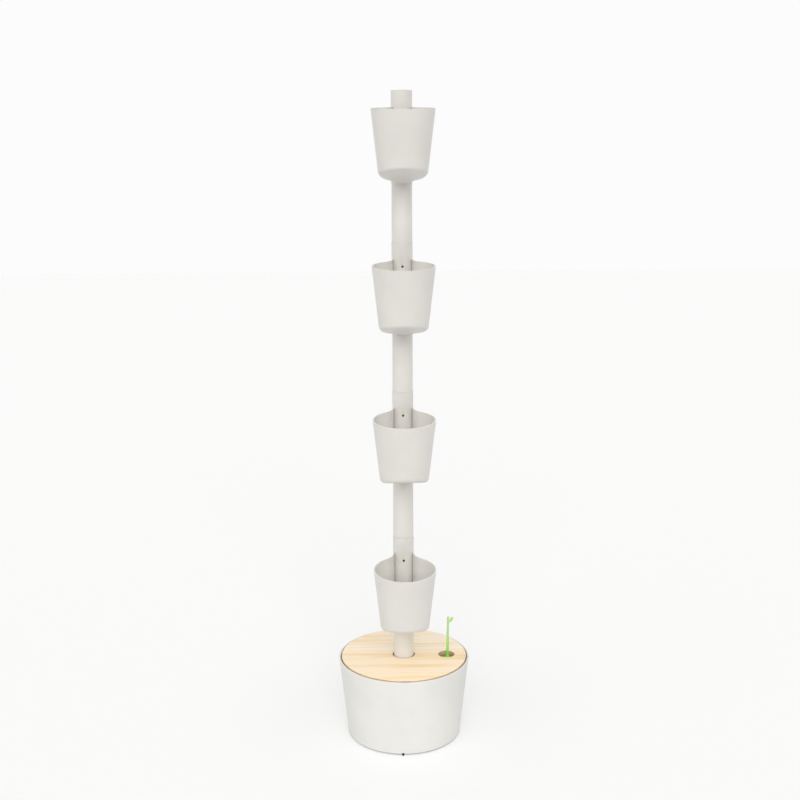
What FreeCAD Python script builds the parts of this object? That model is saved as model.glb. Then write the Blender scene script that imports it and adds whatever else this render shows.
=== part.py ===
# Self-watering planter tower: a water tank with a wooden lid and a stack of plug-together pots.
# Millimetres, +Z up. The origin is on the floor under the middle of the column, pots face -Y.

import math
import os

import FreeCAD
import Part

# Stack
module_count = 4
pitch = 377.0
first_drip_height = 457.0

# Column, radii from its axis
socket_radius = 26.6
socket_bore = 23.1
waist_bore = 22.4
socket_rise = 59.0
tube_radius = 25.9
tube_bore = 19.5
spigot_radius = 23.0
spigot_depth = 40.0
upper_spigot_length = 25.0
seal_offset = 12.0
seal_thickness = 0.9
spigot_ring_drop = 12.0
joint_gap = 0.3
slip = 0.08

# Pot, heights from its drip hole
pot_back = -36.5
pot_radius = 77.8
pot_taper = 0.1117
pot_wall = 3.0
rim_centre = -114.3
rim_height = 9.2
rim_slope = 4.75
floor_front = -137.0
floor_front_reach = 160.5
floor_slope = 14.9
floor_bottom = -171.0
floor_bend = 60.0
floor_edge_round = 14.0
neck_half_width = 26.4
neck_fillet = 45.0

# Watering parts
drip_hole_radius = 2.8
drip_groove_radius = 4.2
drip_groove_depth = 2.2
drip_groove_height = 26.0
drain_slot_lift = 5.5
drain_slot_height = 14.0
riser_radius = 5.0
riser_bore = 3.5
tee_radius = 7.5
tee_bottom = -10.0
tee_top = 12.0
tee_seat = 3.0

# Tank
tank_top = 197.5
tank_bottom = 1.5
tank_top_radius = 168.0
tank_bottom_radius = 144.6
tank_wall = 4.0
tank_floor = 30.0
tank_floor_thickness = 4.0
ledge_height = 187.8
ledge_width = 8.0
base_plate_bottom = 4.0
base_plate_thickness = 3.0
foot_radius = 12.0
foot_ring_radius = 112.0
screw_ring_radius = 128.0
tank_turn = -3.0
grommet_radius = 2.8
grommet_height = 3.1
grommet_reach = 3.2

# Lid and level gauge
lid_radius = 161.2
lid_thickness = 12.0
lid_column_hole = 28.2
gauge_x = 110.3
gauge_hole = 20.8
guide_bore = 20.3
guide_wall = 1.2
float_radius = 18.8
float_bottom = 161.0
float_height = 29.0
sprout_height = 299.5
sprout_offset = 3.0

# Column foot and pump
inner_floor = tank_floor + tank_floor_thickness
foot_flange_radius = 46.0
foot_flange_thickness = 5.0
foot_socket_top = 120.0
foot_core_top = 66.0
feed_height = 56.0
feed_stub_end = -44.0
pump_x = -95.0
pump_chamber_radius = 17.0


def at(x, y, z):
    return FreeCAD.Vector(x, y, z)


UP = at(0, 0, 1)


def rod(radius, start, end):
    """Round bar between two points."""
    way = end - start
    return Part.makeCylinder(radius, way.Length, start, way)


def disc(radius, bottom, top, x=0.0, y=0.0):
    return rod(radius, at(x, y, bottom), at(x, y, top))


def ring(outer, inner, bottom, top, x=0.0, y=0.0):
    return disc(outer, bottom, top, x, y).cut(disc(inner, bottom - 1, top + 1, x, y))


def block(x1, x2, y1, y2, z1, z2):
    return Part.makeBox(x2 - x1, y2 - y1, z2 - z1, at(x1, y1, z1))


def turned(shape, degrees, axis=UP, centre=None):
    copy = shape.copy()
    copy.rotate(centre or at(0, 0, 0), axis, degrees)
    return copy


def upright_edges(shape):
    return [edge for edge in shape.Edges if abs(edge.tangentAt(edge.FirstParameter).z) > 0.9]


def raised(shape, height):
    copy = shape.copy()
    copy.translate(at(0, 0, height))
    return copy


def around(shape, count, first=0.0):
    """Copies of a shape spaced evenly about the column."""
    return [turned(shape, first + 360.0 * i / count) for i in range(count)]


def revolved(points, x=0.0, y=0.0):
    """Solid turned from a closed profile of (radius, height) points."""
    wire = Part.makePolygon([at(r, 0, z) for r, z in points + points[:1]])
    solid = Part.Face(wire).revolve(at(0, 0, 0), UP, 360)
    solid.translate(at(x, y, 0))
    return solid


def joined(shapes):
    whole = shapes[0]
    for shape in shapes[1:]:
        whole = whole.fuse(shape)
    return whole.removeSplitter()


def above_rim():
    """Everything above the rim's plane, which rises towards the column."""
    size = 500.0
    solid = Part.makeBox(size, size, size, at(-size / 2, -size / 2, 0))
    solid.rotate(at(0, 0, 0), at(1, 0, 0), rim_slope)
    solid.translate(at(0, rim_centre, rim_height))
    return solid


def below_floor(lift=0.0):
    """Everything under the pot's floor: it slopes down to the column and is level around it."""
    slope = math.radians(floor_slope)
    run = floor_bend * math.tan(slope / 2)
    bend_y = (floor_front - floor_bottom) / math.tan(slope) - floor_front_reach
    front_y, back_y, deep = -400.0, 300.0, -500.0

    def corner(y, z):
        return at(-350.0, y, z + lift)

    front = corner(front_y, floor_bottom + (bend_y - front_y) * math.tan(slope))
    bend_start = corner(bend_y - run * math.cos(slope), floor_bottom + run * math.sin(slope))
    bend_end = corner(bend_y + run, floor_bottom)
    bend_middle = corner(
        bend_y + run - floor_bend * math.sin(slope / 2),
        floor_bottom + floor_bend * (1 - math.cos(slope / 2)),
    )
    bend = Part.Arc(bend_start, bend_middle, bend_end).toShape()
    back = corner(back_y, floor_bottom)
    outline = [back, corner(back_y, deep), corner(front_y, deep), front]
    edges = [Part.makeLine(front, bend_start), bend, Part.makeLine(bend_end, back)]
    edges += [Part.makeLine(a, b) for a, b in zip(outline, outline[1:])]
    return Part.Face(Part.Wire(edges)).extrude(at(700.0, 0, 0))


def pot_outline(height, inset):
    """Closed wire at one height: round pot in front, concave fillets that run into the socket."""
    radius = pot_radius + (height - rim_height) * pot_taper
    centre = pot_back - radius
    radius -= inset
    fillet = neck_fillet + inset
    half_width = neck_half_width - inset
    fillet_x = half_width + fillet
    fillet_y = centre + math.sqrt((radius + fillet) ** 2 - fillet_x**2)
    share = radius / (radius + fillet)
    tangent_x = fillet_x * share
    tangent_y = centre + (fillet_y - centre) * share
    bow = (math.atan2(tangent_y - fillet_y, tangent_x - fillet_x) + 3 * math.pi) / 2
    bow_x = fillet_x + fillet * math.cos(bow)
    bow_y = fillet_y + fillet * math.sin(bow)

    def corner(x, y):
        return at(x, y, height)

    def side(sign):
        start, end = corner(sign * tangent_x, tangent_y), corner(sign * half_width, fillet_y)
        return Part.Arc(start, corner(sign * bow_x, bow_y), end).toShape()

    front = Part.Arc(
        corner(-tangent_x, tangent_y), corner(0, centre - radius), corner(tangent_x, tangent_y)
    )
    right_end, left_end = corner(half_width, 0), corner(-half_width, 0)
    return Part.Wire([
        front.toShape(), side(1), Part.makeLine(corner(half_width, fillet_y), right_end),
        Part.makeLine(right_end, left_end),
        Part.makeLine(left_end, corner(-half_width, fillet_y)), side(-1),
    ])


def pot_body(inset, edge_round):
    """Solid from the pot's floor, with its rounded edge, to a height over the rim."""
    wires = [pot_outline(height, inset) for height in (30.0, -200.0)]
    solid = Part.makeLoft(wires, True, True).cut(below_floor(inset))
    floor_edges = []
    for edge in solid.Edges:
        middle = edge.valueAt((edge.FirstParameter + edge.LastParameter) / 2)
        way = edge.tangentAt((edge.FirstParameter + edge.LastParameter) / 2)
        straight_across = abs(way.x) > 0.999 and edge.Curve.TypeId == "Part::GeomLine"
        if middle.z < floor_front + inset + 1.0 and abs(way.z) < 0.5 and not straight_across:
            floor_edges.append(edge)
    return solid.makeFillet(edge_round, floor_edges)


def drain_slots():
    """Three slots through the column wall at the pot's lowest corner."""
    bottom = floor_bottom + drain_slot_lift
    slot = block(-2.0, 2.0, -socket_radius - 1, -tube_bore + 1.5, bottom, bottom + drain_slot_height)
    return [turned(slot, angle) for angle in (-26, 0, 26)]


def make_pot():
    """Pot with the column socket moulded to its back and the bore for the tube below."""
    column = disc(socket_radius, floor_bottom, socket_rise)
    shell = pot_body(0.0, floor_edge_round).cut(above_rim())
    cavity = pot_body(pot_wall, floor_edge_round - pot_wall)
    cavity = cavity.cut(disc(socket_radius, floor_bottom - 1, socket_rise))
    pot = column.fuse(shell).cut(cavity)
    pot = pot.cut(disc(socket_bore, socket_rise - spigot_depth - 1, socket_rise + 1))
    pot = pot.cut(disc(waist_bore, floor_bottom - 1, socket_rise))
    pot = pot.cut(disc(socket_bore, floor_bottom - 1, floor_bottom + upper_spigot_length + 1))
    pot = pot.cut(rod(drip_hole_radius, at(0, -socket_radius - 2, 0), at(0, -waist_bore + 2, 0)))
    groove_axis = -socket_radius - drip_groove_radius
    groove = rod(
        drip_groove_radius,
        at(0, groove_axis + drip_groove_depth, 0),
        at(0, groove_axis, drip_groove_height),
    )
    pot = pot.cut(groove)
    line_top = socket_rise - spigot_ring_drop
    pot = pot.cut(ring(socket_radius + 1, socket_radius - 0.35, line_top - 0.6, line_top))
    for slot in drain_slots():
        pot = pot.cut(slot)
    return pot


def make_tube(shoulder):
    """Column tube from its lower shoulder to the pot's underside, with a spigot at both ends."""
    top = floor_bottom + upper_spigot_length
    tube = disc(tube_radius, shoulder, floor_bottom)
    tube = tube.fuse(disc(spigot_radius, shoulder - spigot_depth, top))
    tube = tube.cut(disc(tube_bore, shoulder - spigot_depth - 1, top + 1))
    seal_z = shoulder - seal_offset
    groove_half = seal_thickness + 0.2
    groove_floor = spigot_radius - 2 * seal_thickness - 0.05
    groove = ring(spigot_radius + 1, groove_floor, seal_z - groove_half, seal_z + groove_half)
    tube = tube.cut(groove)
    for slot in drain_slots():
        tube = tube.cut(slot)
    return tube.removeSplitter()


def make_seal(shoulder):
    """Round rubber ring in the groove of the tube's lower spigot."""
    ring_radius = spigot_radius - seal_thickness
    return Part.makeTorus(ring_radius, seal_thickness, at(0, 0, shoulder - seal_offset), UP)


def make_riser(lower_end):
    """Riser pipe with the tee that feeds one pot."""
    pipe = disc(riser_radius, lower_end, tee_bottom + 1)
    tee = disc(tee_radius, tee_bottom, tee_top)
    arm = rod(3.0, at(0, 0, 0), at(0, -18.0, 0))
    riser = joined([pipe, tee, arm])
    riser = riser.cut(disc(riser_bore, lower_end - 1, tee_top))
    riser = riser.cut(disc(riser_radius + slip, tee_seat, tee_top + 1))
    return riser.cut(rod(1.6, at(0, 0, 0), at(0, -19.0, 0)))


def make_nozzle():
    """Drip nozzle: a collar over the tee's arm and a tip through the socket wall."""
    collar = rod(4.6, at(0, -13.0, 0), at(0, -21.7, 0))
    tip = rod(drip_hole_radius - 0.1, at(0, -21.2, 0), at(0, -socket_radius + 0.8, 0))
    nozzle = collar.fuse(tip)
    nozzle = nozzle.cut(rod(3.05, at(0, -12.0, 0), at(0, -18.2, 0)))
    return nozzle.cut(rod(1.2, at(0, -12.0, 0), at(0, -27.0, 0)))


def make_strainer():
    """Curved perforated plate in front of the drain slots."""
    inner = socket_radius + 0.2
    bottom = floor_bottom - 1
    height = 29.0
    plate = ring(inner + 1.6, inner, bottom, bottom + height)
    corners = [at(0, 0, bottom), at(-24, -40, bottom), at(24, -40, bottom), at(0, 0, bottom)]
    plate = plate.common(Part.Face(Part.makePolygon(corners)).extrude(at(0, 0, height)))
    plate = plate.cut(below_floor(pot_wall + 0.2))
    for level in range(4):
        hole_z = floor_bottom + drain_slot_lift + 3.0 + 5.0 * level
        hole = rod(1.5, at(0, -20.0, hole_z), at(0, -32.0, hole_z))
        for angle in (-24, -12, 0, 12, 24):
            plate = plate.cut(turned(hole, angle))
    return plate


def make_riser_stopper():
    """Closes the top tee."""
    plug = disc(riser_radius, tee_seat + 0.5, tee_top)
    cap = disc(tee_radius, tee_top, tee_top + 3.0)
    return plug.fuse(cap)


def tank_outer(height):
    rise = (height - tank_bottom) / (tank_top - tank_bottom)
    return tank_bottom_radius + (tank_top_radius - tank_bottom_radius) * rise


def make_tank():
    def inner(height):
        return tank_outer(height) - tank_wall

    bay_top = inner(tank_floor)
    profile = [
        (0, tank_floor), (bay_top, tank_floor), (inner(tank_bottom), tank_bottom),
        (tank_bottom_radius - 1.2, tank_bottom), (tank_outer(tank_bottom + 1.2), tank_bottom + 1.2),
        (tank_outer(tank_top - 1), tank_top - 1), (tank_top_radius - 1.2, tank_top),
        (inner(tank_top) + 0.8, tank_top), (inner(tank_top - 0.8), tank_top - 0.8),
        (inner(ledge_height), ledge_height), (inner(ledge_height) - ledge_width, ledge_height),
        (inner(ledge_height) - ledge_width, ledge_height - 3),
        (inner(ledge_height - 14), ledge_height - 14),
        (inner(inner_floor + 5), inner_floor + 5), (inner(inner_floor) - 5, inner_floor),
        (0, inner_floor),
    ]
    tank = revolved(profile)
    boss_top = tank_floor + 0.5
    boss = disc(5.0, base_plate_bottom + base_plate_thickness, boss_top, screw_ring_radius)
    bosses = around(boss.cut(disc(1.6, 0, 25.0, screw_ring_radius)), 6)
    pillar = disc(foot_radius, base_plate_bottom + base_plate_thickness, boss_top)
    for shape in bosses + [pillar]:
        tank = tank.fuse(shape)
    notch = grommet_radius + 0.1
    tank = tank.cut(rod(notch, at(0, -150.0, grommet_height), at(0, -130.0, grommet_height)))
    tank = tank.cut(block(-notch, notch, -150, -130, 0, grommet_height))
    tank = tank.cut(disc(6.2, tank_floor - 2, inner_floor + 2, -62.0, -70.0))
    return tank


def make_base_plate():
    plate = disc(137.0, base_plate_bottom, base_plate_bottom + base_plate_thickness)
    plate = plate.cut(block(-5.0, 5.0, -140.0, -120.0, 0, 10))
    for hole in around(disc(1.8, 0, 10, screw_ring_radius), 6):
        plate = plate.cut(hole)
    recesses = around(disc(foot_radius + 0.2, 0, base_plate_bottom + 1.5, foot_ring_radius), 4, 45.0)
    for recess in recesses + [disc(foot_radius + 0.2, 0, base_plate_bottom + 1.5)]:
        plate = plate.cut(recess)
    return plate


def make_base_screws():
    x = screw_ring_radius
    head = disc(2.9, base_plate_bottom - 1.6, base_plate_bottom, x)
    shank = disc(1.5, base_plate_bottom - 0.5, base_plate_bottom + 14.0, x)
    screw = head.fuse(shank).cut(block(x - 4, x + 4, -0.4, 0.4, 0, base_plate_bottom - 0.8))
    return around(screw, 6)


def make_base_feet():
    profile = [
        (0, 0), (foot_radius - 1.5, 0), (foot_radius, 1.5),
        (foot_radius, base_plate_bottom + 1.5), (0, base_plate_bottom + 1.5),
    ]
    return around(revolved(profile, foot_ring_radius), 4, 45.0) + [revolved(profile)]


def make_grommet():
    """Rubber plug in the notch of the tank's edge, with the hole for the supply lead."""
    wall, inside = -tank_outer(grommet_height), -139.0
    plug = rod(grommet_radius, at(0, wall - grommet_reach, grommet_height), at(0, inside, grommet_height))
    plug = plug.fuse(block(-grommet_radius, grommet_radius, wall + 0.2, inside, 1.6, grommet_height))
    flange = rod(4.4, at(0, inside, 4.6), at(0, inside + 1.4, 4.6))
    flange = flange.cut(block(-6, 6, -150, -130, -2, 1.6))
    lead_hole = rod(1.2, at(0, -150.0, grommet_height), at(0, -130.0, grommet_height))
    return plug.fuse(flange).cut(lead_hole)


def make_control_case():
    case = block(-45.0, 45.0, 20.0, 80.0, 13.0, tank_floor)
    case = case.makeFillet(5.0, upright_edges(case))
    case = case.cut(block(-42.5, 42.5, 22.5, 77.5, 10.0, 27.5))
    corners = [(x, y) for x in (-38.0, 38.0) for y in (27.0, 73.0)]
    for x, y in corners:
        case = case.fuse(ring(3.6, 1.3, 13.0, 28.0, x, y))
    return case.cut(rod(3.0, at(-20.0, 15.0, 20.0), at(-20.0, 25.0, 20.0)))


def make_control_cover():
    cover = block(-45.0, 45.0, 20.0, 80.0, 10.5, 13.0)
    cover = cover.makeFillet(5.0, upright_edges(cover))
    for x in (-38.0, 38.0):
        for y in (27.0, 73.0):
            cover = cover.cut(disc(1.5, 10.0, 14.0, x, y))
    return cover


def make_cable_gland():
    """Gland for the pump lead, with a nut on each side of the tank floor."""
    x, y = -62.0, -70.0
    body = disc(6.0, tank_floor - 6, inner_floor + 8, x, y)
    nuts = []
    for low, high in ((tank_floor - 5, tank_floor), (inner_floor, inner_floor + 6)):
        corners = [
            at(x + 9 * math.cos(math.radians(60 * i)), y + 9 * math.sin(math.radians(60 * i)), low)
            for i in range(7)
        ]
        nuts.append(Part.Face(Part.makePolygon(corners)).extrude(at(0, 0, high - low)))
    dome = Part.makeCone(7.5, 4.5, 7.0, at(x, y, inner_floor + 6), UP)
    gland = joined([body, dome] + nuts)
    return gland.cut(disc(2.2, 0, 60, x, y))


def make_column_foot():
    flange = disc(foot_flange_radius, inner_floor, inner_floor + foot_flange_thickness)
    core = disc(socket_radius, inner_floor, foot_core_top)
    socket = disc(socket_radius, foot_core_top - 1, foot_socket_top)
    socket = socket.cut(disc(socket_bore, foot_core_top, foot_socket_top + 1))
    nipple = disc(tee_radius, foot_core_top - 1, foot_core_top + 14)
    stub = rod(4.5, at(0, 0, feed_height), at(feed_stub_end, 0, feed_height))
    foot = joined([flange, core, socket, nipple, stub])
    rib = block(24.5, 40.0, -1.5, 1.5, inner_floor + 4, 62.0)
    corners = [at(25.0, -3, 62.0), at(42.0, -3, 39.0), at(42.0, -3, 63.0), at(25.0, -3, 62.0)]
    rib = rib.cut(Part.Face(Part.makePolygon(corners)).extrude(at(0, 6, 0)))
    foot = joined([foot] + around(rib, 4, 45.0))
    foot = foot.cut(disc(riser_radius + slip, foot_core_top + 4, foot_core_top + 15))
    foot = foot.cut(disc(riser_bore, feed_height, foot_core_top + 5))
    foot = foot.cut(rod(3.0, at(0, 0, feed_height), at(feed_stub_end - 1, 0, feed_height)))
    window = block(20.0, 30.0, -4.0, 4.0, foot_core_top + 1.0, foot_core_top + 12.0)
    for shape in around(window, 4, 0.0) + around(disc(2.7, 30, 45, 37.0), 4, 0.0):
        foot = foot.cut(shape)
    return foot


def make_foot_screws():
    top = inner_floor + foot_flange_thickness
    head = disc(4.2, top, top + 2.6, 37.0)
    shank = disc(2.4, inner_floor + 0.2, top + 1, 37.0)
    screw = head.fuse(shank).cut(block(33.5, 40.5, -0.5, 0.5, top + 1.6, top + 4))
    screw = screw.cut(block(36.5, 37.5, -3.5, 3.5, top + 1.6, top + 4))
    return around(screw, 4, 0.0)


def make_pump_body():
    """Motor block behind a round pump chamber, outlet towards the column."""
    z = feed_height
    motor = block(pump_x - 21, pump_x + 21, 9.0, 44.0, z - 17, z + 22)
    long_edges = [e for e in motor.Edges if abs(e.tangentAt(e.FirstParameter).y) > 0.9]
    motor = motor.makeFillet(4.0, long_edges)
    chamber = rod(pump_chamber_radius, at(pump_x, 9.5, z), at(pump_x, -9.0, z))
    outlet = rod(4.5, at(pump_x, 0, z), at(-62.0, 0, z))
    rear = rod(9.0, at(pump_x, 43.0, z), at(pump_x, 47.0, z))
    body = joined([motor, chamber, outlet, rear])
    body = body.cut(rod(pump_chamber_radius - 2, at(pump_x, -10, z), at(pump_x, 7.0, z)))
    body = body.cut(rod(8.0, at(pump_x, 6.0, z), at(pump_x, 35.0, z)))
    body = body.cut(rod(3.0, at(pump_x + 14, 0, z), at(-61.0, 0, z)))
    body = body.cut(rod(1.5, at(pump_x, 34.0, z), at(pump_x, 40.0, z)))
    for x in (pump_x - 13, pump_x + 13):
        for y in (16.0, 37.0):
            body = body.cut(disc(2.1, z - 18, z - 14, x, y))
    return body


def make_pump_cover():
    """Front cover with inlet slots."""
    z = feed_height
    cover = rod(pump_chamber_radius, at(pump_x, -9.0, z), at(pump_x, -16.0, z))
    cover = cover.cut(rod(pump_chamber_radius - 2, at(pump_x, -8.0, z), at(pump_x, -14.0, z)))
    for step in range(-3, 4):
        x = pump_x + 4.0 * step
        half = 11.0 - abs(step) * 1.2
        cover = cover.cut(block(x - 1.1, x + 1.1, -17.0, -13.0, z - half, z - 2))
        cover = cover.cut(block(x - 1.1, x + 1.1, -17.0, -13.0, z + 2, z + half))
    hub = rod(3.0, at(pump_x, -14.5, z), at(pump_x, -11.0, z))
    return cover.fuse(hub).cut(rod(1.5, at(pump_x, -13.0, z), at(pump_x, -10.0, z)))


def make_pump_shaft():
    return rod(1.45, at(pump_x, -12.8, feed_height), at(pump_x, 39.5, feed_height))


def make_pump_rotor():
    """Magnet with the impeller blades, runs on the shaft."""
    z = feed_height
    magnet = rod(7.2, at(pump_x, 7.5, z), at(pump_x, 33.0, z))
    plate = rod(12.0, at(pump_x, 5.0, z), at(pump_x, 6.5, z))
    hub = rod(4.0, at(pump_x, -7.0, z), at(pump_x, 8.0, z))
    blades = []
    for i in range(6):
        blade = block(pump_x + 3.0, pump_x + 12.0, -5.0, 5.5, z - 0.7, z + 0.7)
        blades.append(turned(blade, 60.0 * i, at(0, 1, 0), at(pump_x, 0, z)))
    rotor = joined([magnet, plate, hub] + blades)
    return rotor.cut(rod(1.5, at(pump_x, -10, z), at(pump_x, 40, z)))


def make_pump_cups():
    profile = [
        (0, inner_floor + 3.2), (2.0, inner_floor + 2.4), (7.0, inner_floor), (7.8, inner_floor + 0.6),
        (4.5, inner_floor + 3.4), (3.6, inner_floor + 5.0), (2.0, inner_floor + 5.0),
        (2.0, inner_floor + 7.5), (0, inner_floor + 7.5),
    ]
    spots = [(x, y) for x in (pump_x - 13, pump_x + 13) for y in (16.0, 37.0)]
    return [revolved(profile, x, y) for x, y in spots]


def make_feed_hose():
    hose = rod(6.3, at(-70.0, 0, feed_height), at(-29.0, 0, feed_height))
    return hose.cut(rod(4.55, at(-71.0, 0, feed_height), at(-28.0, 0, feed_height)))


def make_hose_clips():
    """Spring clips that hold the hose on the pump outlet and on the column foot."""
    clips = []
    for x in (-67.0, -36.0):
        band = rod(7.4, at(x - 2.5, 0, feed_height), at(x + 2.5, 0, feed_height))
        ears = block(x - 2.0, x + 2.0, -3.5, 3.5, feed_height + 6.8, feed_height + 11.0)
        ears = ears.cut(block(x - 3.0, x + 3.0, -1.8, 1.8, feed_height + 7.0, feed_height + 12.0))
        clip = band.fuse(ears).cut(rod(6.4, at(x - 4, 0, feed_height), at(x + 4, 0, feed_height)))
        clips.append(clip)
    return clips


def make_gauge_guide():
    """Perforated tube that keeps the float under the fill hole."""
    low = inner_floor
    guide = ring(guide_bore + guide_wall, guide_bore, low, ledge_height - 3.5, gauge_x)
    foot = ring(guide_bore + 5, guide_bore, low, low + 2.5, gauge_x)
    guide = guide.fuse(foot)
    for level in range(5):
        slot = block(-30.0, 30.0, -2.5, 2.5, low + 12 + 25.0 * level, low + 28 + 25.0 * level)
        slot = slot.fuse(turned(slot, 90.0))
        slot.translate(at(gauge_x, 0, 0))
        guide = guide.cut(slot)
    return guide.removeSplitter()


def make_lid():
    top = ledge_height + lid_thickness
    edge = 1.2
    lid = revolved([
        (lid_column_hole, ledge_height), (lid_radius - edge, ledge_height),
        (lid_radius, ledge_height + edge), (lid_radius, top - edge), (lid_radius - edge, top),
        (lid_column_hole + 0.8, top), (lid_column_hole, top - 0.8),
    ])
    hole = revolved([
        (0, ledge_height - 1), (gauge_hole, ledge_height - 1), (gauge_hole, top - 0.8),
        (gauge_hole + 1.8, top + 1), (0, top + 1),
    ], gauge_x)
    return lid.cut(hole)


def make_float():
    top = float_bottom + float_height
    body = revolved([
        (0, float_bottom), (float_radius - 4, float_bottom), (float_radius, float_bottom + 4),
        (float_radius, top - 4), (float_radius - 4, top), (0, top),
    ], gauge_x)
    return body.cut(disc(3.85, top - 14, top + 1, gauge_x + sprout_offset))


def make_sprout():
    """Stem that leans a little, with a foot on the float and a forked leaf near its top."""
    foot_z = float_bottom + float_height
    foot_x = gauge_x + sprout_offset
    rings = []
    for share in (0.0, 0.3, 0.65, 1.0):
        height = foot_z - 13 + (sprout_height - foot_z + 13) * share
        x = foot_x + 2.0 * share * share
        circle = Part.makeCircle(3.8 - 1.2 * share, at(x, 0, height), UP)
        rings.append(Part.Wire(circle))
    stem = Part.makeLoft(rings, True)
    foot = revolved([
        (0, foot_z), (8.5, foot_z), (8.5, foot_z + 1.4), (5.2, foot_z + 3.4), (3.0, foot_z + 9.0),
        (0, foot_z + 9.0),
    ], foot_x)
    root = at(foot_x + 1.2, 0, sprout_height - 17)
    tip = at(foot_x + 10.5, 0, sprout_height - 4.5)
    twig = Part.makeCone(2.3, 1.4, (tip - root).Length, root, tip - root)
    leaf_points = [
        (5.0, -12.0), (9.2, -13.2), (13.2, -8.2), (14.4, -1.0), (9.6, -1.8), (5.8, -6.2),
    ]
    curve = Part.BSplineCurve()
    places = [at(foot_x + x, -0.9, sprout_height + z) for x, z in leaf_points]
    curve.interpolate(places, PeriodicFlag=True)
    leaf = Part.Face(Part.Wire(curve.toShape())).extrude(at(0, 1.8, 0))
    return joined([stem, foot, twig, leaf])


def write(name, shapes):
    """One STEP file per node."""
    shapes = shapes if isinstance(shapes, list) else [shapes]
    solids = [solid for shape in shapes for solid in shape.Solids]
    whole = solids[0] if len(solids) == 1 else Part.makeCompound(solids)
    whole.exportStep(os.path.join("parts", name + ".step"))


def write_module(number, pot, nozzle, strainer, middle_parts):
    """One pot with the tube, seal and riser below it; the lowest one stands in the column foot."""
    height = first_drip_height + pitch * (number - 1)
    if number == 1:
        shoulder = foot_socket_top + joint_gap - height
        riser = make_riser(foot_core_top + 4.3 - height)
        tube = make_tube(shoulder)
        seal = make_seal(shoulder)
    else:
        tube, seal, riser = middle_parts
    pieces = {
        "pot": pot, "tube": tube, "seal": seal,
        "riser": riser, "nozzle": nozzle, "strainer": strainer,
    }
    for piece, shape in pieces.items():
        write(f"{piece}_{number}", raised(shape, height))


def write_tank_parts():
    """The tank with all that stands in it, the level gauge and the lid."""
    parts = {
        "tank": make_tank(),
        "base_plate": make_base_plate(),
        "base_screws": make_base_screws(),
        "base_feet": make_base_feet(),
        "lead_grommet": make_grommet(),
        "control_case": make_control_case(),
        "control_cover": make_control_cover(),
        "cable_gland": make_cable_gland(),
        "column_foot": make_column_foot(),
        "foot_screws": make_foot_screws(),
        "pump_body": make_pump_body(),
        "pump_cover": make_pump_cover(),
        "pump_shaft": make_pump_shaft(),
        "pump_rotor": make_pump_rotor(),
        "pump_cups": make_pump_cups(),
        "feed_hose": make_feed_hose(),
        "hose_clips": make_hose_clips(),
        "gauge_guide": make_gauge_guide(),
        "gauge_float": make_float(),
        "gauge_sprout": make_sprout(),
        "lid_board": make_lid(),
    }
    for name, shapes in parts.items():
        shapes = shapes if isinstance(shapes, list) else [shapes]
        write(name, [turned(shape, tank_turn) for shape in shapes])


def main():
    os.makedirs("parts", exist_ok=True)
    write_tank_parts()
    shoulder = socket_rise + joint_gap - pitch
    middle_parts = (make_tube(shoulder), make_seal(shoulder), make_riser(tee_seat + 0.5 - pitch))
    pot = make_pot()
    nozzle = make_nozzle()
    strainer = make_strainer()
    for number in range(1, module_count + 1):
        write_module(number, pot, nozzle, strainer, middle_parts)
    top_drip = first_drip_height + pitch * (module_count - 1)
    write("riser_stopper", raised(make_riser_stopper(), top_drip))


main()
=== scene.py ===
import math

import bpy
from mathutils import Matrix, Vector

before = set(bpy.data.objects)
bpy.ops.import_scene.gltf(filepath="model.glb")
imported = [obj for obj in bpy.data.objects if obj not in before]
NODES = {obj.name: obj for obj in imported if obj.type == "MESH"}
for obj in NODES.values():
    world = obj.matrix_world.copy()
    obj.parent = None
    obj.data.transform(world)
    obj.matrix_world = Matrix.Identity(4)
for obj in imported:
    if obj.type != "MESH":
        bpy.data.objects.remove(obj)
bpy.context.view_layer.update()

# Camera: metres and degrees, with its lens and sensor in millimetres
CAMERA_DISTANCE = 2.857
CAMERA_HEIGHT = 1.440
CAMERA_SIDE = 1.9
CAMERA_PITCH = 5.59
CAMERA_YAW = -0.112
CAMERA_ROLL = -0.27
CAMERA_LENS = 51.3
CAMERA_SENSOR = 36.0
CAMERA_SHIFT = -0.1425

# Light levels
SKY_LEVEL = 1.42
FRONT_SUN = 1.06
TOP_SUN = 0.48
LEFT_SUN = 0.23
BACKGROUND_WHITE = (0.975, 0.975, 0.975)
FLOOR_GREY = (0.75, 0.75, 0.745)
FLOOR_SHADOW = 0.62
FLOOR_HALF = 14.0

# Bright wall of the sky: sines of the heights between which it fades in and out
WALL_FADES_IN = (0.10, 0.45)
WALL_FADES_OUT = (0.60, 0.90)

# Lid, metres: radii, the middle of its gauge hole, and its glued strips from the front edge on
LID_RADIUS = 0.1612
COLUMN_HOLE_RADIUS = 0.0282
GAUGE_HOLE_RADIUS = 0.0208
GAUGE_HOLE_MIDDLE = (0.11015, -0.00577)
STRIPS_START = -0.161
STRIP_WIDTH = 0.0465
RING_SPACING = 0.0088

# Heights, metres: painted shade at the foot, standing in for the contact shadow, and the part of
# the sprout that shows
FOOT_SHADE_SOLID = 0.0022
FOOT_SHADE_END = 0.0052
SPROUT_FOOT = 0.192
SPROUT_LEAF = 0.265

# Plastics, and the painted shade along their foot
POT_SHELL = (0.752, 0.732, 0.690)
TANK_SHELL = (0.80, 0.795, 0.762)
BLACK_PLASTIC = (0.028, 0.028, 0.030)
GREY_PLASTIC = (0.22, 0.225, 0.23)
FOOT_SHADE = (0.16, 0.145, 0.12)


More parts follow.
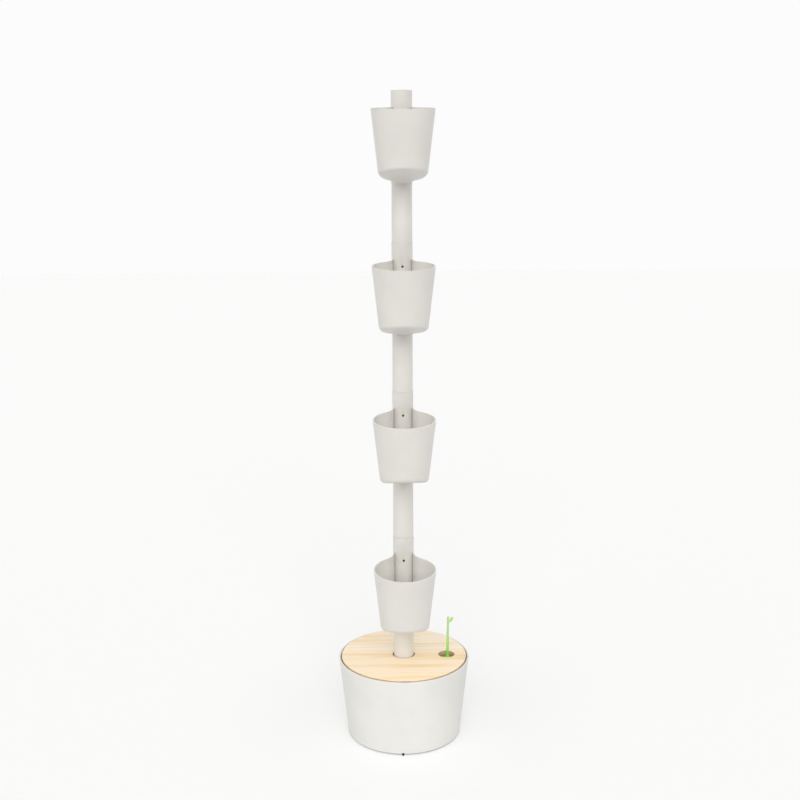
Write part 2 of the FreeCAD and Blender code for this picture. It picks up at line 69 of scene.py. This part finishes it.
class Value:
    """A socket of a shader node that takes part in sums like a number."""

    def __init__(self, graph, socket):
        self.graph = graph
        self.socket = socket

    def output(self, name):
        """Another output of the same node."""
        return Value(self.graph, self.socket.node.outputs[name])

    def __add__(self, other):
        return self.graph.maths("ADD", self, other)

    __radd__ = __add__

    def __sub__(self, other):
        return self.graph.maths("SUBTRACT", self, other)

    def __rsub__(self, other):
        return self.graph.maths("SUBTRACT", other, self)

    def __mul__(self, other):
        return self.graph.maths("MULTIPLY", self, other)

    __rmul__ = __mul__

    def __truediv__(self, other):
        return self.graph.maths("DIVIDE", self, other)

    def __rtruediv__(self, other):
        return self.graph.maths("DIVIDE", other, self)


class Graph:
    """Shader nodes of a material or of the world."""

    def __init__(self, owner):
        owner.use_nodes = True
        self.owner = owner
        self.tree = owner.node_tree
        self.tree.nodes.clear()

    def node(self, kind, inputs=None, settings=None, output=0):
        """Adds a node: its settings first, then a value or a link for each socket named."""
        made = self.tree.nodes.new("ShaderNode" + kind)
        for label, value in (settings or {}).items():
            setattr(made, label, value)
        for label, value in (inputs or {}).items():
            if isinstance(value, Value):
                self.tree.links.new(value.socket, made.inputs[label])
            else:
                made.inputs[label].default_value = value
        return Value(self, made.outputs[output]) if made.outputs else None

    def maths(self, operation, *values):
        return self.node("Math", dict(enumerate(values)), {"operation": operation})

    def step(self, value, start, end):
        """0 before start, 1 after end, smooth between."""
        return self.node(
            "MapRange", {"Value": value, "From Min": start, "From Max": end},
            {"interpolation_type": "SMOOTHSTEP"},
        )

    def mix(self, share, first, second):
        """A colour between two, each a plain colour or a value."""
        ends = [c if isinstance(c, Value) else (*c, 1.0) for c in (first, second)]
        inputs = {0: share, 6: ends[0], 7: ends[1]}
        return self.node("Mix", inputs, {"data_type": "RGBA"}, 2)

    def blend(self, share, first, second):
        """A surface between two surfaces."""
        return self.node("MixShader", {0: share, 1: first, 2: second})

    def seen(self):
        """1 for rays that come from the camera, off metal or through glass."""
        ray = self.node("LightPath", output="Is Camera Ray")
        either = self.maths("MAXIMUM", ray, ray.output("Is Glossy Ray"))
        return self.maths("MAXIMUM", either, ray.output("Is Transmission Ray"))


class Paint(Graph):
    """A material whose colour, roughness and relief follow the place on the object."""

    def __init__(self, name):
        super().__init__(bpy.data.materials.new(name))
        where = self.node("TexCoord", output="Object")
        self.x = self.node("SeparateXYZ", {0: where})
        self.y = self.x.output("Y")
        self.z = self.x.output("Z")

    def stretched(self, x=1.0, y=1.0, z=1.0, shift=0.0):
        """Place on the object, scaled along each axis."""
        return self.node("CombineXYZ", {0: self.x * x + shift, 1: self.y * y, 2: self.z * z})

    def noise(self, scale, detail=3.0, roughness=0.5, place=None):
        place = place or self.stretched()
        inputs = {"Vector": place, "Scale": scale, "Detail": detail, "Roughness": roughness}
        return self.node("TexNoise", inputs)

    def chance(self, number):
        """A random value that stays the same for one number."""
        return self.node("TexWhiteNoise", {"W": number}, {"noise_dimensions": "1D"})

    def finish(self, colour, roughness, relief, depth, **uniform):
        """Joins the surface up. depth is the height of the relief, metres."""
        bump = self.node("Bump", {"Height": relief, "Strength": 0.55, "Distance": depth})
        inputs = {"Base Color": colour, "Roughness": roughness, "Normal": bump}
        inputs.update({label.replace("_", " "): value for label, value in uniform.items()})
        self.node("OutputMaterial", {"Surface": self.node("BsdfPrincipled", inputs)})
        return self.owner


def shade(colour, share):
    """The colour made lighter, with a share over 1, or darker."""
    return tuple(min(1.0, level * share) for level in colour)


def moulded_plastic(name, colour, grain=0.5, roughness=0.46, draw_lines=0.0, sheen=0.35, foot=0.0):
    """Moulded or drawn plastic, with faint clouding and scuffs.

    grain and draw_lines are the strength of its fine texture and of its lines up the tube,
    sheen is its gloss level, and foot is the share of painted shade where it meets the floor,
    standing in for the contact shadow.
    """
    paint = Paint(name)
    cloud = paint.noise(9.0, 4.0, 0.55)
    fine = paint.noise(1900.0, 2.0, 0.6)
    scuff = paint.noise(1.0, 5.0, 0.7, paint.stretched(40.0, 40.0, 260.0))
    scuff = paint.step(scuff, 0.62, 0.78)
    along = paint.noise(1.0, 2.0, 0.5, paint.stretched(900.0, 900.0, 6.0))
    tone = paint.mix(paint.step(cloud, 0.3, 0.7), shade(colour, 0.965), shade(colour, 1.02))
    tone = paint.mix(scuff * 0.10, tone, shade(colour, 1.07))
    tone = paint.mix((1.0 - fine) * 0.06, tone, shade(colour, 0.8))
    # painted shade: the colour darkens towards the floor, standing in for the contact shadow under
    # the part
    foot_shade = (1.0 - paint.step(paint.z, FOOT_SHADE_SOLID, FOOT_SHADE_END)) * (0.7 + cloud * 0.5) * foot
    tone = paint.mix(foot_shade, tone, FOOT_SHADE)
    rough = roughness + (cloud - 0.5) * 0.12 + scuff * 0.07 + (fine - 0.5) * 0.08
    relief = fine * grain + along * draw_lines + scuff * 0.2
    return paint.finish(tone, rough, relief, 0.00012, Specular_IOR_Level=sheen)


def cut_faces(paint):
    """High on the sawn faces of the lid: its rim, the column hole and the gauge hole."""
    def away(x, y):
        across, along = paint.x - x, paint.y - y
        return paint.maths("SQRT", across * across + along * along)

    def hole(distance, radius):
        return 1.0 - paint.step(distance, radius + 0.0001, radius + 0.0006)

    middle = away(0.0, 0.0)
    rim = paint.step(middle, LID_RADIUS - 0.0009, LID_RADIUS - 0.0004) * 0.6
    column_hole = hole(middle, COLUMN_HOLE_RADIUS)
    gauge_hole = hole(away(*GAUGE_HOLE_MIDDLE), GAUGE_HOLE_RADIUS) * 0.7
    return paint.maths("MAXIMUM", rim, paint.maths("MAXIMUM", column_hole, gauge_hole))


def pine_board():
    """Oiled pine, glued up from strips that run from left to right, with browned cut faces that
    carry painted shade too.

    Each strip has its own tint and grain, and the strips are paler towards the back as a painted
    reflection, standing in for the sheen on the far side of the lid.
    """
    paint = Paint("lid pine")
    pale, warm = (1.0, 0.92, 0.785), (0.99, 0.81, 0.57)
    ring_brown, streak_gold = (0.89, 0.58, 0.28), (0.90, 0.63, 0.32)
    fibre_white, pore_brown = (1.0, 0.92, 0.76), (0.66, 0.42, 0.22)
    glue_brown = (0.60, 0.38, 0.20)
    cut_dark, cut_light = (0.20, 0.105, 0.045), (0.42, 0.25, 0.12)
    across = (paint.y - STRIPS_START) / STRIP_WIDTH
    strip = paint.maths("FLOOR", across)
    seam = paint.maths("ABSOLUTE", paint.maths("FRACT", across) - 0.5)
    tint = paint.chance(strip)
    phase = paint.chance(strip + 17.3)
    # painted reflection: the tone grows paler strip by strip towards the back, standing in for the
    # sheen there
    warmth = tint * 0.5 + (0.55 - strip * 0.09)
    shift = tint * 3.7
    bend = paint.node("CombineXYZ", {
        0: paint.x * 2.6 + shift, 1: paint.y * 7.0, 2: paint.z * 7.0 + phase * 5.0,
    })
    bow = paint.noise(1.0, 2.0, 0.45, bend)
    ripple = paint.noise(1.0, 3.0, 0.5, paint.stretched(14.0, 40.0, 40.0, shift))
    slant = paint.y + paint.z * 0.35
    ring = (slant + (bow - 0.5) * 0.085 + (ripple - 0.5) * 0.003) / RING_SPACING
    wave = paint.maths("SINE", ring * 2.0 * math.pi + phase * 6.0) * 0.5 + 0.5
    late = paint.step(wave, 0.5, 1.0) * (0.45 + phase * 0.55)
    fibre = paint.noise(1.0, 3.0, 0.6, paint.stretched(26.0, 900.0, 900.0, shift))
    pore = paint.noise(1.0, 2.0, 0.6, paint.stretched(90.0, 2400.0, 2400.0))
    pore = paint.step(pore, 0.62, 0.8)
    streak = paint.noise(1.0, 3.0, 0.55, paint.stretched(2.4, 52.0, 52.0, shift))
    streak = paint.step(streak, 0.46, 0.66)
    tone = paint.mix(warmth, pale, warm)
    tone = paint.mix(late * 0.50, tone, ring_brown)
    tone = paint.mix(streak * 0.75, tone, streak_gold)
    tone = paint.mix((fibre - 0.35) * 0.30, tone, fibre_white)
    tone = paint.mix(pore * 0.22, tone, pore_brown)
    glue = paint.step(seam, 0.488, 0.498)
    tone = paint.mix(glue * 0.45, tone, glue_brown)
    # the cut faces are browned end grain, darkened further by painted shade that stands in for the
    # shadow in the holes and in the gap along the edge
    cut = cut_faces(paint)
    brown = paint.mix(fibre, cut_dark, cut_light)
    tone = paint.mix(cut * 0.9, tone, brown)
    rough = 0.47 + late * 0.10 + (fibre - 0.5) * 0.18 + pore * 0.12 + cut * 0.15
    relief = fibre * 0.5 - pore * 0.6 + late * 0.35 - glue * 0.8
    return paint.finish(tone, rough, relief, 0.00018, Specular_IOR_Level=0.3)


def black_rubber():
    """Matt black rubber with a little dust on it."""
    paint = Paint("rubber")
    clean, dusty = (0.012, 0.012, 0.013), (0.06, 0.058, 0.053)
    dust = paint.step(paint.noise(160.0, 5.0, 0.65), 0.5, 0.8)
    fine = paint.noise(3200.0, 2.0)
    tone = paint.mix(dust * 0.35, clean, dusty)
    rough = 0.62 + dust * 0.2 + (fine - 0.5) * 0.1
    return paint.finish(tone, rough, fine, 0.00008, Specular_IOR_Level=0.3)


def sprout_plastic():
    """Satin green plastic that lets some light through, paler towards the leaf."""
    paint = Paint("sprout green")
    stem_green, leaf_green = (0.235, 0.685, 0.085), (0.49, 0.765, 0.30)
    cloud_green, vein_green = (0.52, 0.84, 0.27), (0.16, 0.46, 0.06)
    rise = paint.step(paint.z, SPROUT_FOOT, SPROUT_LEAF)
    vein = paint.noise(1.0, 3.0, 0.6, paint.stretched(700.0, 700.0, 60.0))
    cloud = paint.noise(120.0, 3.0)
    tone = paint.mix(rise, stem_green, leaf_green)
    tone = paint.mix(paint.step(cloud, 0.35, 0.75) * 0.25, tone, cloud_green)
    tone = paint.mix(vein * 0.16, tone, vein_green)
    rough = 0.34 + (cloud - 0.5) * 0.16 + vein * 0.05
    return paint.finish(
        tone, rough, vein, 0.0001,
        Specular_IOR_Level=0.5, Subsurface_Weight=0.25, Subsurface_Scale=0.004,
    )


def foam_float():
    """Yellowish expanded foam with its beads showing."""
    paint = Paint("float foam")
    joint, yellow, damp = (0.25, 0.21, 0.06), (0.54, 0.475, 0.15), (0.42, 0.43, 0.13)
    bead = paint.node(
        "TexVoronoi", {"Vector": paint.stretched(), "Scale": 330.0},
        {"feature": "DISTANCE_TO_EDGE"},
    )
    bead = paint.step(bead, 0.0, 0.22)
    cloud = paint.noise(60.0, 3.0)
    tone = paint.mix(bead, joint, yellow)
    tone = paint.mix(paint.step(cloud, 0.4, 0.75) * 0.4, tone, damp)
    rough = 0.58 + (1.0 - bead) * 0.2
    return paint.finish(tone, rough, bead, 0.0004, Specular_IOR_Level=0.3)


def guide_plastic():
    """Milky tube round the float, with scale left by the water."""
    paint = Paint("guide milky plastic")
    thin, thick, limescale = (0.50, 0.54, 0.44), (0.62, 0.65, 0.55), (0.76, 0.75, 0.68)
    scale = paint.noise(1.0, 5.0, 0.65, paint.stretched(90.0, 90.0, 22.0))
    scale = paint.step(scale, 0.45, 0.72)
    cloud = paint.noise(35.0, 3.0)
    tone = paint.mix(cloud, thin, thick)
    tone = paint.mix(scale * 0.35, tone, limescale)
    rough = 0.25 + scale * 0.35 + cloud * 0.1
    return paint.finish(tone, rough, scale, 0.00015, Specular_IOR_Level=0.5)


def stainless():
    """Turned stainless steel with fine circular scratches."""
    paint = Paint("stainless steel")
    dull, bright = (0.50, 0.50, 0.51), (0.66, 0.65, 0.64)
    scratch = paint.noise(1.0, 3.0, 0.6, paint.stretched(300.0, 300.0, 4000.0))
    stain = paint.noise(220.0, 4.0)
    tone = paint.mix(stain, dull, bright)
    rough = 0.22 + scratch * 0.16 + stain * 0.08
    return paint.finish(tone, rough, scratch, 0.00002, Metallic=1.0)


def silicone_hose():
    """Milky silicone with faint pull lines."""
    paint = Paint("hose silicone")
    clear, milky = (0.58, 0.60, 0.60), (0.72, 0.73, 0.72)
    pull = paint.noise(1.0, 2.0, 0.5, paint.stretched(30.0, 900.0, 900.0))
    cloud = paint.noise(150.0, 3.0)
    tone = paint.mix(cloud, clear, milky)
    return paint.finish(
        tone, 0.38 + cloud * 0.15, pull, 0.00006,
        Specular_IOR_Level=0.45, Subsurface_Weight=0.2, Subsurface_Scale=0.003,
    )


def studio_floor():
    """Floor that is grey to the object, and nearly white with a soft shadow to the eye."""
    paint = Paint("studio floor")
    fibre = paint.noise(30.0, 2.0)

    def matt(darkest, lightest):
        return paint.node("BsdfPrincipled", {
            "Base Color": paint.mix(fibre, darkest, lightest),
            "Roughness": 0.9 + fibre * 0.05, "Specular IOR Level": 0.0,
        })

    grey = matt(shade(FLOOR_GREY, 0.98), FLOOR_GREY)
    pale = matt((0.93, 0.93, 0.93), (0.95, 0.95, 0.95))
    glow = paint.node("Emission", {"Color": (*BACKGROUND_WHITE, 1.0), "Strength": 1.0})
    look = paint.blend(FLOOR_SHADOW, glow, pale)
    paint.node("OutputMaterial", {"Surface": paint.blend(paint.seen(), grey, look)})
    return paint.owner


def paint_nodes():
    """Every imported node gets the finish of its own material."""
    pots = moulded_plastic("pot plastic", POT_SHELL, roughness=0.37, sheen=0.5)
    tubes = moulded_plastic(
        "tube plastic", POT_SHELL, grain=0.3, roughness=0.30, draw_lines=0.5, sheen=0.6,
    )
    # the tank and its base plate get painted shade along their foot
    tank = moulded_plastic("tank plastic", TANK_SHELL, foot=0.75)
    dark = moulded_plastic("black plastic", BLACK_PLASTIC, roughness=0.42)
    grey = moulded_plastic("grey plastic", GREY_PLASTIC)
    rubber = black_rubber()
    steel = stainless()
    finishes = {
        "pot": pots, "tube": tubes, "column_foot": tubes, "tank": tank, "base_plate": tank,
        "lid_board": pine_board(), "base_screws": steel, "foot_screws": steel,
        "hose_clips": steel, "pump_shaft": steel, "base_feet": rubber, "lead_grommet": rubber,
        "pump_cups": rubber, "seal": rubber, "nozzle": rubber, "control_case": grey,
        "control_cover": grey, "pump_rotor": grey, "riser": grey, "cable_gland": dark,
        "pump_body": dark, "pump_cover": dark, "strainer": dark, "riser_stopper": dark,
        "feed_hose": silicone_hose(), "gauge_guide": guide_plastic(),
        "gauge_float": foam_float(), "gauge_sprout": sprout_plastic(),
    }
    for name, node in NODES.items():
        family = name if name in finishes else name.rsplit("_", 1)[0]
        node.data.materials.clear()
        node.data.materials.append(finishes[family])


def camera():
    data = bpy.data.cameras.new("view")
    data.lens = CAMERA_LENS
    data.sensor_width = CAMERA_SENSOR
    data.shift_y = CAMERA_SHIFT
    data.clip_end = 50.0
    view = bpy.data.objects.new("view", data)
    bpy.context.collection.objects.link(view)
    side = math.radians(CAMERA_SIDE)
    heading = math.radians(CAMERA_SIDE + CAMERA_YAW)
    pitch, roll = math.radians(CAMERA_PITCH), math.radians(CAMERA_ROLL)
    place = Vector((-math.sin(side), -math.cos(side), 0)) * CAMERA_DISTANCE
    place.z = CAMERA_HEIGHT
    ahead = Vector((
        math.sin(heading) * math.cos(pitch), math.cos(heading) * math.cos(pitch), -math.sin(pitch)
    ))
    level = Vector((math.cos(heading), -math.sin(heading), 0))
    upright = level.cross(ahead)
    right = level * math.cos(roll) + upright * math.sin(roll)
    up = upright * math.cos(roll) - level * math.sin(roll)
    turn = Matrix((right, up, -ahead)).transposed()
    view.matrix_world = Matrix.Translation(place) @ turn.to_4x4()
    bpy.context.scene.camera = view


def sun(name, side, height, strength, softness):
    """Soft light from far away. side and height are degrees: right of the front, above level."""
    data = bpy.data.lights.new(name, "SUN")
    data.energy = strength
    data.angle = math.radians(softness)
    light = bpy.data.objects.new(name, data)
    bpy.context.collection.objects.link(light)
    across, rise = math.radians(side), math.radians(height)
    source = Vector((
        math.sin(across) * math.cos(rise), -math.cos(across) * math.cos(rise), math.sin(rise)
    ))
    light.rotation_euler = source.to_track_quat("Z", "Y").to_euler()


def sky():
    """A pale wall all round at half height, seen as plain white behind the object."""
    world = bpy.data.worlds.new("studio")
    bpy.context.scene.world = world
    graph = Graph(world)
    direction = graph.node("TexCoord", output="Generated")
    height = graph.node("SeparateXYZ", {0: direction}, output="Z")
    wall = graph.step(height, *WALL_FADES_IN) - graph.step(height, *WALL_FADES_OUT)
    dark = graph.node("Background", {"Color": (0.0, 0.0, 0.0, 1.0), "Strength": 0.0})
    pale = graph.node("Background", {"Color": (1.0, 0.995, 0.985, 1.0), "Strength": SKY_LEVEL})
    light = graph.blend(wall, dark, pale)
    white = graph.node("Background", {"Color": (*BACKGROUND_WHITE, 1.0), "Strength": 1.0})
    graph.node("OutputWorld", {"Surface": graph.blend(graph.seen(), light, white)})


def floor():
    half = FLOOR_HALF
    corners = [(-half, -half, 0), (half, -half, 0), (half, half, 0), (-half, half, 0)]
    mesh = bpy.data.meshes.new("floor")
    mesh.from_pydata(corners, [], [(0, 1, 2, 3)])
    sheet = bpy.data.objects.new("floor", mesh)
    bpy.context.collection.objects.link(sheet)
    mesh.materials.append(studio_floor())


def main():
    bpy.context.scene.view_settings.view_transform = "Standard"
    camera()
    sky()
    floor()
    sun("front light", side=0.0, height=28.0, strength=FRONT_SUN, softness=38.0)
    sun("top light", side=0.0, height=75.0, strength=TOP_SUN, softness=35.0)
    sun("left light", side=-50.0, height=15.0, strength=LEFT_SUN, softness=50.0)
    paint_nodes()


main()
